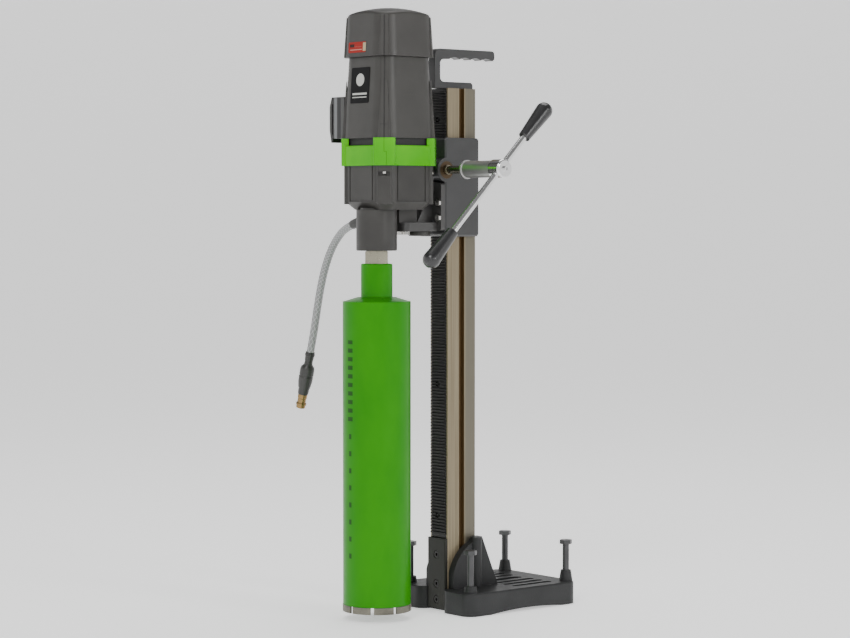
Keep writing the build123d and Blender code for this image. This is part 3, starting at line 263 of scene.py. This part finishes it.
hose_finish.feed("Base Color", hose_finish.blend(weave, (0.22, 0.225, 0.225), (0.46, 0.47, 0.47)))
hose_finish.bump(weave, 0.3, 0.0002)
hose_curve.materials.append(hose_finish.material)
hose = bpy.data.objects.new("water_hose", hose_curve)
bpy.context.scene.collection.objects.link(hose)
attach(hose, "carriage")
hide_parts("hose_tube")

# Hose end.
# A moulded nut clamps the hose on the coupling body; a turned brass nipple ends it.
# All three are round pieces on the hose's last direction.


def mottled(name, colour, spread, roughness, grain_scale, grain_depth, **values):
    """A painted, cast or moulded finish: uneven colour, uneven gloss and a fine grain in the surface."""
    finish = Finish(name, colour, Roughness=roughness, **values)
    cloud = finish.noise(22, 4)
    light = [min(1.0, channel * (1 + spread)) for channel in colour]
    dark = [channel * (1 - spread) for channel in colour]
    finish.feed("Base Color", finish.blend(cloud.smooth(0.3, 0.7), dark, light))
    finish.feed("Roughness", finish.noise(90, 3) * 0.16 + (roughness - 0.08))
    finish.bump(finish.noise(grain_scale, 2), 0.35, grain_depth)
    return finish.material


def settle(name, mesh, material, body, *nodes):
    """Make an object of a bmesh, shade it, let it ride on a body and stand for its nodes."""
    data = bpy.data.meshes.new(name)
    mesh.to_mesh(data)
    mesh.free()
    data.materials.append(material)
    data.shade_smooth()
    data.set_sharp_from_angle(angle=radians(35))
    made = bpy.data.objects.new(name, data)
    bpy.context.scene.collection.objects.link(made)
    normals = made.modifiers.new("face_normals", "WEIGHTED_NORMAL")
    normals.keep_sharp = True
    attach(made, body)
    if nodes:
        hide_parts(*nodes)
    return made


tap_material = mottled("moulded_coupling", (0.030, 0.030, 0.028), 0.2, 0.38, 700, 0.0002)
brass = mottled("turned_brass", (0.30, 0.20, 0.085), 0.15, 0.28, 500, 0.0001, Metallic=1.0)
hose_end = Vector((hose_route[-1][0], drill_y, hose_route[-1][1]))
hose_way = (hose_end - Vector((hose_route[-2][0], drill_y, hose_route[-2][1]))).normalized()


def turned(profile, base, way, sides=48):
    """A closed round bmesh: profile points are (distance along the axis, radius) from end to end."""
    mesh = bmesh.new()
    turn = Vector(way).to_track_quat("X", "Z").to_matrix()
    corners = [mesh.verts.new(Vector(base) + turn @ Vector((along, 0, radius))) for along, radius in profile]
    edges = [mesh.edges.new(pair) for pair in zip(corners, corners[1:])]
    bmesh.ops.spin(mesh, geom=corners + edges, cent=base, axis=way, angle=2 * pi, steps=sides,
                   use_merge=True)
    bmesh.ops.remove_doubles(mesh, verts=mesh.verts[:], dist=1e-6)
    bmesh.ops.recalc_face_normals(mesh, faces=mesh.faces[:])
    return mesh


nut_profile = [(0, 0), (0, 0.0066), (0.0006, 0.0070), (0.0028, 0.0070), (0.0032, 0.0076), (0.0058, 0.0076),
               (0.0062, 0.0070), (0.0142, 0.0064), (0.0150, 0.0058), (0.0150, 0)]
nut = settle("hose_nut_shape", turned(nut_profile, hose_end, hose_way), tap_material, "carriage",
             "hose_nut")
tap_base = hose_end + hose_way * nut_profile[-1][0]
tap_profile = [(0, 0), (0, 0.0058), (0.001, 0.0063), (0.0045, 0.0064), (0.0062, 0.0074), (0.0095, 0.0102),
               (0.0120, 0.0109), (0.0215, 0.0110), (0.0222, 0.0104), (0.0238, 0.0104), (0.0245, 0.0110),
               (0.0330, 0.0107), (0.0420, 0.0093), (0.0432, 0.0085), (0.0505, 0.0083), (0.0530, 0.0076),
               (0.0530, 0)]
tap = settle("hose_coupling_shape", turned(tap_profile, tap_base, hose_way), tap_material, "carriage",
             "hose_tap")
nipple_base = tap_base + hose_way * tap_profile[-1][0]
nipple_profile = [(0, 0), (0, 0.0073), (0.006, 0.0073), (0.0068, 0.0066), (0.0132, 0.0066), (0.014, 0.0078),
                  (0.0144, 0.0080), (0.0168, 0.0080), (0.0174, 0.0072), (0.0216, 0.0070), (0.022, 0.0064),
                  (0.022, 0.004), (0.004, 0.004), (0.004, 0)]
nipple = settle("hose_nipple_shape", turned(nipple_profile, nipple_base, hose_way), brass, "carriage",
                "hose_nipple")

# Rig stand casting.
# A painted grey-iron foot with two cheeks that hold the column, shallow cored pockets in its top
# and a bolt boss at each corner. The sand-cast skin is slightly rough under the paint.


def merged_copy(node):
    """A bmesh of a CAD piece with its loose triangles joined and its flat areas made whole."""
    mesh = bmesh.new()
    mesh.from_mesh(frame["nodes"][node].data)
    bmesh.ops.remove_doubles(mesh, verts=mesh.verts[:], dist=2e-6)
    bmesh.ops.dissolve_limit(mesh, angle_limit=radians(0.6), verts=mesh.verts[:], edges=mesh.edges[:],
                             use_dissolve_boundaries=False)
    return mesh


def break_edges(mesh, width, angle=28, segments=2):
    """Round every edge that is sharper than an angle."""
    sharp = [edge for edge in mesh.edges if edge.is_manifold and edge.calc_face_angle() > radians(angle)]
    bmesh.ops.bevel(mesh, geom=sharp, offset=width, offset_type="OFFSET", affect="EDGES", segments=segments,
                    profile=0.5, material=-1, clamp_overlap=True, loop_slide=True)


def dress(node, material, width=0.0005, segments=2, angle=28):
    """A CAD piece with its edges rounded and its finish on."""
    mesh = merged_copy(node)
    if width:
        break_edges(mesh, width, angle, segments)
    body = frame["nodes"][node]["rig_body"]
    return settle(node + "_shape", mesh, material, body, node)


cast_paint = mottled("painted_cast_iron", (0.020, 0.0205, 0.021), 0.16, 0.46, 420, 0.0006,
                     Specular_IOR_Level=0.3)
dress("base_casting", cast_paint, 0.0012, 3)

# Levelling screws.
# Blackened hexagon screws that stand high out of the corner bosses, one in each corner of the foot.
blackened_screw = mottled("blackened_screw", (0.060, 0.060, 0.062), 0.15, 0.34, 600, 0.0001, Metallic=0.5)
for corner in ("front_left", "front_right", "rear_left", "rear_right"):
    dress("levelling_screw_" + corner, blackened_screw, 0.0004)

# Column.
# An aluminium extrusion, bronze anodised, with a groove in each side and a channel down its front.
# The die leaves faint lines along it.
column_finish = Finish("bronze_anodised", (0.27, 0.215, 0.122), Metallic=0.45, Roughness=0.42)
die_lines = column_finish.noise(900, 2, (1, 1, 0.004))
bronze = column_finish.blend(die_lines.smooth(0.35, 0.65), (0.175, 0.142, 0.086), (0.255, 0.211, 0.136))
# The rear part of each side is painted darker and greyer: painted shade.
rear_third = (column_finish.axis("Y")).smooth(0.004, 0.010)
bronze_with_rear_shade = column_finish.blend(rear_third * 0.75, bronze, (0.115, 0.110, 0.088))
# The side grooves are painted dark brown: painted shade in the recesses.
groove_painted_shade = (column_finish.axis("Y").size() < 0.0051) * (column_finish.axis("X").size() < 0.0196)
column_finish.feed("Base Color", column_finish.blend(groove_painted_shade, bronze_with_rear_shade, (0.105, 0.062, 0.022)))
column_finish.feed("Roughness", die_lines * 0.2 + 0.3)
column_finish.bump(die_lines, 0.25, 0.0002)
dress("column_profile", column_finish.material, 0.0006)

# Rack and foot strip.
# A blackened steel rack screwed into the column's front channel, and below it a grey aluminium strip
# with three counterbored screws that clamps the column to the stand.
black_oxide = mottled("blackened_steel", (0.016, 0.0155, 0.014), 0.2, 0.38, 500, 0.0002, Metallic=0.4)
strip_grey = mottled("satin_aluminium", (0.018, 0.018, 0.014), 0.12, 0.46, 700, 0.0001,
                     Specular_IOR_Level=0.25)
zinc_plate = mottled("zinc_plate", (0.42, 0.42, 0.41), 0.12, 0.30, 600, 0.0001, Metallic=1.0)
dress("rack", black_oxide, 0.00015, 1)
dress("rack_screws", black_oxide, 0.0003)
dress("foot_strip", strip_grey, 0.0006)
dress("foot_screws", black_oxide, 0.0003)
dress("column_screws", zinc_plate, 0.0003)

# Carry handle.
# A cast aluminium grip, painted like the carriage, screwed on the column's top end.
machine_paint = mottled("grey_enamel", (0.028, 0.028, 0.0285), 0.10, 0.34, 520, 0.00025, Coat_Weight=0.15)
dress("carry_handle", machine_paint, 0.0014, 3)

# Carriage.
# A cast slide that runs up and down the column on plastic pads, each set by a screw from outside.
# Its machined faces and its front are painted with a smooth enamel.
dress("carriage_casting", machine_paint, 0.0012, 3)
pad_plastic = mottled("acetal_pad", (0.55, 0.53, 0.47), 0.06, 0.45, 700, 0.0001)
dress("glide_pads", pad_plastic, 0.0002, 1)
dress("glide_screws", zinc_plate, 0.0002)
bush_bronze = mottled("oiled_sintered_bronze", (0.075, 0.050, 0.028), 0.12, 0.35, 800, 0.0001, Metallic=0.8)
dress("pinion_bushes", bush_bronze, 0.0002, 1)

# Motor bracket.
# A welded plate bracket with the carriage's enamel; two bolts hold its flange on the carriage and two
# more come up through its shelf into the gear case.
# The bracket's enamel is painted lighter and glossier than the carriage's: painted light on the bracket.
bracket_lit_enamel = mottled("carriage_enamel_painted_lit", (0.040, 0.039, 0.038), 0.08, 0.32, 520, 0.0002, Coat_Weight=0.2)
dress("motor_bracket", bracket_lit_enamel, 0.0010, 3)
bright_bolt = mottled("bright_zinc", (0.62, 0.61, 0.58), 0.08, 0.22, 600, 0.0001, Metallic=1.0)
dress("bracket_bolts", bright_bolt, 0.0004)
case_grey = mottled("grey_die_casting", (0.038, 0.0365, 0.034), 0.12, 0.40, 480, 0.0003,
                    Specular_IOR_Level=0.35)
dress("clamp_disc", case_grey, 0.0008)

# Feed lock.
# A moulded black knob on a screw that presses on the column.
grip_rubber = mottled("black_moulding", (0.018, 0.018, 0.019), 0.15, 0.42, 650, 0.0002)
dress("lock_knob", grip_rubber, 0.0008, 3)

# Gear case.
# A die-cast case in dark satin paint, with a clamping neck below it that the bracket's ring could grip.
# The clear hose's fitting is screwed into the neck's left side.
dress("gear_housing", case_grey, 0.0012, 3)
dress("clamping_neck", case_grey, 0.0008, 3)
dress("water_fitting", tap_material, 0.0006)
dress("shaft_seals", grip_rubber, 0.0002, 1)

# Duct ring.
# A glossy green moulded band between the gear case and the motor that guides the cooling air.
band_green = Finish("glossy_green_moulding", (0.085, 0.46, 0.001), Roughness=0.25, Specular_IOR_Level=0.12,
                    Coat_Weight=0.1, Coat_Roughness=0.12)
motor_y = -0.1245
band_low, band_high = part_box("duct_ring")
band_step = band_green.axis("Z") - (band_low.z + band_high.z) / 2
band_across = band_green.axis("X").size()
band_along = (band_green.axis("Y") - motor_y).size()
off_corner = band_across - band_along
parting = 1 - (off_corner - 0.005 * (band_step < 0)).size().smooth(0.0003, 0.0008)
jog = (band_step.size() < 0.0004) * (off_corner > 0) * (off_corner < 0.005)
parting_line = parting.larger(jog) * (band_across + band_along > 0.076)
band_cloud = band_green.noise(16, 3).smooth(0.3, 0.7)
band_colour = band_green.blend(band_cloud, (0.055, 0.38, 0.0004), (0.08, 0.45, 0.0008))
band_green.feed("Base Color", band_green.blend(parting_line * 0.7, band_colour, (0.015, 0.08, 0.001)))
band_green.feed("Roughness", band_green.noise(120, 2) * 0.08 + 0.18)
band_green.bump(band_green.noise(60, 2), 0.15, 0.0002)
dress("duct_ring", band_green.material, 0.0012, 3)
dress("bearing_plate", case_grey, 0.0006)

# Shade screen.
# A near-black punched steel sleeve behind the band's openings that stands in for the dark inside of the
# band: painted shade.
# It stands on the bearing plate, just inside the band's wall.
screen_half = 0.0495
screen_corner = 0.0225
screen_foot = 0.6730
screen_height = 0.0335
screen_mesh = bmesh.new()
bmesh.ops.create_grid(screen_mesh, x_segments=1, y_segments=1, size=screen_half,
                      matrix=Matrix.Translation((0, motor_y, screen_foot)))
screen_corners = screen_mesh.verts[:]
bmesh.ops.bevel(screen_mesh, geom=screen_corners, offset=screen_corner, offset_type="OFFSET",
                affect="VERTICES", segments=8, profile=0.5, material=-1)
screen_outline = screen_mesh.edges[:]
bmesh.ops.delete(screen_mesh, geom=screen_mesh.faces[:], context="FACES_ONLY")
risen = bmesh.ops.extrude_edge_only(screen_mesh, edges=screen_outline)
screen_top = [part for part in risen["geom"] if isinstance(part, bmesh.types.BMVert)]
bmesh.ops.translate(screen_mesh, verts=screen_top, vec=(0, 0, screen_height))
bmesh.ops.recalc_face_normals(screen_mesh, faces=screen_mesh.faces[:])
bmesh.ops.solidify(screen_mesh, geom=screen_mesh.faces[:], thickness=0.0008)
# Near-black sheet as painted shade behind the openings; the punched holes are its own pattern.
shade_screen_finish = Finish("punched_black_shade_sheet", (0.010, 0.010, 0.010), Roughness=0.55)
punch_height = (shade_screen_finish.axis("Z") * 500).fraction() - 0.5
punch_along = ((shade_screen_finish.axis("X") + shade_screen_finish.axis("Y")) * 350).fraction() - 0.5
punched = (punch_height * punch_height + punch_along * punch_along).smooth(0.05, 0.08)
shade_screen_finish.feed("Base Color", shade_screen_finish.blend(punched, (0.002, 0.002, 0.002), (0.014, 0.014, 0.014)))
shade_screen_finish.bump(punched, 0.5, 0.0003)
screen = settle("painted_shade_screen", screen_mesh, shade_screen_finish.material, "carriage")

# Motor housing and fan cap.
# Dark grey glass-filled nylon with a fine spark-eroded grain; the cap takes the cooling air in.
nylon = mottled("glass_filled_nylon", (0.043, 0.0415, 0.038), 0.07, 0.40, 1500, 0.00025, Coat_Weight=0.08,
                Coat_Roughness=0.3)


def ribbed(name, colour, low, high, seam):
    """Moulded nylon with a parting groove down the middle of each corner rib and one line round the ribs."""
    finish = Finish(name, colour, Roughness=0.42, Specular_IOR_Level=0.35)
    across = finish.axis("X").size()
    along = (finish.axis("Y") - motor_y).size()
    off_rib = (across - along).size()
    on_rib = (across + along > 0.076) * (finish.axis("Z") > low) * (finish.axis("Z") < high)
    groove = (1 - off_rib.smooth(0.0011, 0.0020)) * on_rib
    lips = (1 - (off_rib - 0.0085).size().smooth(0.0002, 0.0008)) * on_rib
    ring = (1 - (finish.axis("Z") - seam).size().smooth(0.0003, 0.0008)) * (off_rib < 0.0085) * on_rib
    cut = groove.larger((lips * 0.5).larger(ring * 0.6))
    cloud = finish.noise(22, 4).smooth(0.3, 0.7)
    light = [min(1.0, channel * 1.08) for channel in colour]
    dark = [channel * 0.92 for channel in colour]
    plain = finish.blend(cloud, dark, light)
    finish.feed("Base Color", finish.blend(cut * 0.8, plain, (0.012, 0.011, 0.010)))
    finish.feed("Roughness", finish.noise(90, 3) * 0.16 + 0.33)
    finish.bump(finish.noise(1500, 2) * 0.1 - cut, 0.5, 0.0006)
    return finish.material


dress("motor_housing", ribbed("ribbed_nylon", (0.043, 0.0415, 0.038), 0.700, 0.826, 0.7255), 0.0010, 3)
dress("fan_cap", ribbed("ribbed_cap_nylon", (0.043, 0.0410, 0.038), 0.823, 0.884, 0.700), 0.0014, 3)
dress("housing_screws", bright_bolt, 0.0002)

# Plates on the motor.
# A black rating plate without any lettering on the housing and a small red and cream sticker on the cap.
plate_low, plate_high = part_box("front_plate")
plate_middle_x = (plate_low.x + plate_high.x) / 2
plate_middle_z = (plate_low.z + plate_high.z) / 2
plate_black = Finish("black_plate", (0.006, 0.006, 0.0065), Roughness=0.5, Specular_IOR_Level=0.12)
plate_x = (plate_black.axis("X") - plate_middle_x).size()
plate_z = plate_black.axis("Z") - plate_middle_z
disc_reach = plate_x * plate_x + (plate_z - 0.008) * (plate_z - 0.008)
pale_disc = disc_reach ** 0.5 < 0.0092
pale_bars = (plate_x < 0.0165) * ((plate_z + 0.0125).size() < 0.0014)
thin_bars = (plate_x < 0.0165) * ((plate_z + 0.0175).size() < 0.0007)
marks = pale_disc.larger(pale_bars.larger(thin_bars))
plate_black.feed("Base Color", plate_black.blend(marks, (0.006, 0.006, 0.0065), (0.50, 0.50, 0.47)))
plate_black.feed("Roughness", plate_black.noise(200, 2) * 0.1 + 0.45)
dress("front_plate", plate_black.material, 0.0003)
sticker_low, sticker_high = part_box("cap_plate")
sticker_red = Finish("red_sticker", (0.30, 0.02, 0.014), Roughness=0.5, Specular_IOR_Level=0.15)
sticker_x = (sticker_red.axis("X") - sticker_low.x) / (sticker_high.x - sticker_low.x)
sticker_z = (sticker_red.axis("Z") - sticker_low.z) / (sticker_high.z - sticker_low.z)
cream = (sticker_x > 0.84) * (sticker_z > 0.12) * (sticker_z < 0.9)
dark_bar = (sticker_x > 0.08) * (sticker_x < 0.34) * ((sticker_z - 0.66).size() < 0.14)
bar_rows = (sticker_z * 3.2).fraction() > 0.72
white_bars = (sticker_x > 0.1) * (sticker_x < 0.78) * bar_rows * (sticker_z < 0.55)
red_field = sticker_red.blend(white_bars * 0.6, (0.30, 0.02, 0.014), (0.55, 0.36, 0.30))
red_and_dark = sticker_red.blend(dark_bar, red_field, (0.03, 0.015, 0.013))
sticker_red.feed("Base Color", sticker_red.blend(cream, red_and_dark, (0.42, 0.36, 0.22)))
dress("cap_plate", sticker_red.material, 0.0002)

# Switch.
# A moulded box on the motor's left side with a cover, a red rocker and a rubber gland for the cable.
switch_nylon = Finish("switch_nylon", (0.055, 0.055, 0.052), Roughness=0.38)
switch_x = switch_nylon.axis("X")
pale_rim = 1 - (switch_x + 0.0655).size().smooth(0.0028, 0.0034)
dark_joint = 1 - (switch_x + 0.0722).size().smooth(0.0026, 0.0032)
inner_joint = 1 - (switch_x + 0.0565).size().smooth(0.0038, 0.0044)
switch_base = switch_nylon.blend(pale_rim, (0.050, 0.050, 0.048), (0.15, 0.155, 0.16))
joints = dark_joint.larger(inner_joint)
switch_nylon.feed("Base Color", switch_nylon.blend(joints, switch_base, (0.008, 0.008, 0.008)))
switch_nylon.bump(switch_nylon.noise(1500, 2) * 0.1 - joints, 0.5, 0.0006)
dress("switch_box", switch_nylon.material, 0.0010, 3)
dress("switch_cover", switch_nylon.material, 0.0010, 3)
rocker_red = mottled("red_rocker", (0.36, 0.02, 0.015), 0.06, 0.28, 700, 0.0001, Coat_Weight=0.3)
dress("rocker_switch", rocker_red, 0.0005)
dress("cable_gland", grip_rubber, 0.0005)

# Feed crank.
# A steel pinion shaft in a zinc sleeve carries a chromed hub; the chromed bar slides in the hub's cross
# bore and has a turned black grip pressed on each end.
bright_steel = mottled("turned_steel", (0.30, 0.285, 0.22), 0.08, 0.26, 600, 0.0001, Metallic=1.0)
chrome = mottled("bright_chrome", (0.78, 0.78, 0.78), 0.04, 0.12, 600, 0.00003, Metallic=1.0)
satin_zinc = mottled("satin_zinc", (0.46, 0.46, 0.45), 0.10, 0.34, 600, 0.0001, Metallic=0.95)
grip_black = mottled("black_grip", (0.014, 0.014, 0.015), 0.12, 0.30, 650, 0.0001, Coat_Weight=0.35,
                     Coat_Roughness=0.2)
dress("pinion_shaft", bright_steel, 0.0002, 1)
dress("shaft_sleeve", satin_zinc, 0.0004)
dress("crank_hub", chrome, 0.0005)
dress("crank_bar", chrome, 0.0002, 1)
dress("bar_grips", grip_black, 0.0004)

# Drill spindle and core bit.
# A turned steel spindle screws into the bit's connector. The bit is a green painted steel tube with
# sintered diamond segments brazed on its lower rim, and plain dark depth marks down its front.
dress("spindle", bright_steel, 0.0004)
bit_green = Finish("green_bit_paint", (0.022, 0.25, 0.0005), Roughness=0.34, Specular_IOR_Level=0.14)
bit_cloud = bit_green.noise(14, 4, (1, 1, 0.5))
bit_paint = bit_green.blend(bit_cloud.smooth(0.3, 0.7), (0.016, 0.205, 0.0003), (0.023, 0.240, 0.0006))
bit_side = bit_green.axis("X").size() + (bit_green.axis("Y") > drill_y) * 1.0
bit_height = bit_green.axis("Z")
close_rows = (bit_height * 80).fraction() > 0.5
wide_rows = (bit_height * 40).fraction() > 0.7
long_ticks = (bit_side < 0.0055) * (bit_height > 0.292) * (bit_height < 0.412) * close_rows
short_ticks = (bit_side < 0.0028) * (bit_height > 0.09) * (bit_height < 0.276) * wide_rows
scale_marks = long_ticks.larger(short_ticks)
bit_green.feed("Base Color", bit_green.blend(scale_marks * 0.9, bit_paint, (0.008, 0.045, 0.004)))
bit_green.feed("Roughness", bit_green.noise(70, 3) * 0.12 + 0.28)
bit_green.bump(bit_green.noise(260, 3), 0.12, 0.0001)
dress("bit_connector", bit_green.material, 0.0008, 3)
dress("core_barrel", bit_green.material, 0.0006)
segment_grit = mottled("diamond_segment", (0.16, 0.15, 0.12), 0.35, 0.5, 1400, 0.0006, Metallic=0.6)
dress("bit_segments", segment_grit, 0.0003)

# Works inside the motor and the gear case.
# Hardened gears and shafts, the wound armature with its commutator and fan, laminations, copper coils,
# brushes, bearings and the control module. The cases cover nearly all of them.
for node in ("spindle_gear", "countershaft"):
    dress(node, bright_steel, 0)
lamination = mottled("lamination_steel", (0.24, 0.25, 0.26), 0.12, 0.38, 900, 0.0001, Metallic=0.9)
for node in ("armature", "stator_core", "spindle_bearings", "shaft_bearings"):
    dress(node, lamination, 0)
copper = mottled("enamelled_copper", (0.62, 0.24, 0.08), 0.12, 0.32, 700, 0.0002, Metallic=0.9)
for node in ("field_coils", "commutator"):
    dress(node, copper, 0)
dress("cooling_fan", nylon, 0)
dress("brush_holders", brass, 0)
carbon = mottled("brush_carbon", (0.02, 0.02, 0.021), 0.1, 0.6, 900, 0.0002)
dress("carbon_brushes", carbon, 0)
dress("control_module", grip_rubber, 0)
